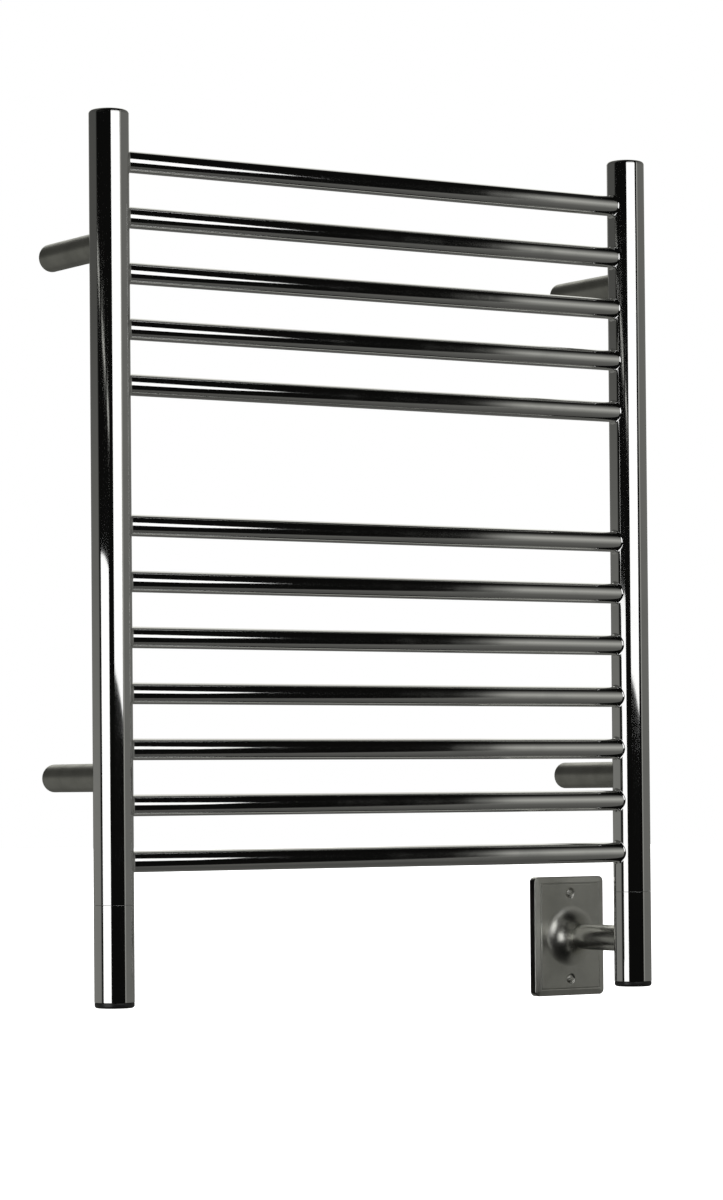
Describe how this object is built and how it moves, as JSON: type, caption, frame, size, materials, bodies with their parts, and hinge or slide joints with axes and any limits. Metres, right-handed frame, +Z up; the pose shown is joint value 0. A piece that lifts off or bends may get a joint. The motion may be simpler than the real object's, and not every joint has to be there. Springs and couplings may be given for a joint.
{
  "type": "towel warmer rack",
  "caption": "Wall-mounted electric towel warmer: polished round cross bars between upright posts, on standoffs, fed by a hollow arm from a cover plate.",
  "frame": {"origin": "on the wall plane, midway between the posts, level with their lower ends", "axes": "+Z up, +Y into the wall, so the rack's front faces -Y, and +X towards the post that the supply arm feeds"},
  "size_m": [0.6237, 0.1287, 0.8001],
  "materials": {
    "polished_steel": "mirror-polished stainless steel tube",
    "satin_steel": "satin stainless steel",
    "plated_steel": "zinc-plated steel",
    "brass": "machined brass",
    "black_plastic": "moulded black nylon",
    "nylon": "natural nylon",
    "silicone": "silicone-jacketed heating cable",
    "lead_black": "black lead insulation",
    "lead_white": "white lead insulation",
    "lead_green": "green lead insulation"
  },
  "bodies": {
    "root": {"post_left": "polished_steel", "top_cap_left": "polished_steel", "leg_sleeve_left": "polished_steel", "leg_spigot_left": "plated_steel", "leg_screw_left": "plated_steel", "leg_nut_left": "plated_steel", "end_plug_left": "black_plastic", "standoff_lower_left": "satin_steel", "wall_anchor_lower_left": "plated_steel", "grub_screw_lower_left": "plated_steel", "standoff_upper_left": "satin_steel", "wall_anchor_upper_left": "plated_steel", "grub_screw_upper_left": "plated_steel", "post_right": "polished_steel", "top_cap_right": "polished_steel", "leg_sleeve_right": "polished_steel", "leg_spigot_right": "plated_steel", "leg_screw_right": "plated_steel", "leg_nut_right": "plated_steel", "end_plug_right": "black_plastic", "standoff_lower_right": "satin_steel", "wall_anchor_lower_right": "plated_steel", "grub_screw_lower_right": "plated_steel", "standoff_upper_right": "satin_steel", "wall_anchor_upper_right": "plated_steel", "grub_screw_upper_right": "plated_steel", "bar_01": "polished_steel", "bar_02": "polished_steel", "bar_03": "polished_steel", "bar_04": "polished_steel", "bar_05": "polished_steel", "bar_06": "polished_steel", "bar_07": "polished_steel", "bar_08": "polished_steel", "bar_09": "polished_steel", "bar_10": "polished_steel", "bar_11": "polished_steel", "bar_12": "polished_steel", "cover_plate": "satin_steel", "cover_trumpet": "satin_steel", "cover_screw_upper": "satin_steel", "cover_screw_lower": "satin_steel", "mounting_strap": "plated_steel", "supply_arm": "satin_steel", "arm_nipple": "brass", "nipple_locknut": "brass", "supply_bushing": "nylon", "heating_cable": "silicone", "thermal_cutoff": "plated_steel", "splice_line": "nylon", "splice_neutral": "nylon", "lead_line": "lead_black", "lead_neutral": "lead_white", "lead_earth": "lead_green", "earth_tag": "brass"}
  },
  "joints": []
}
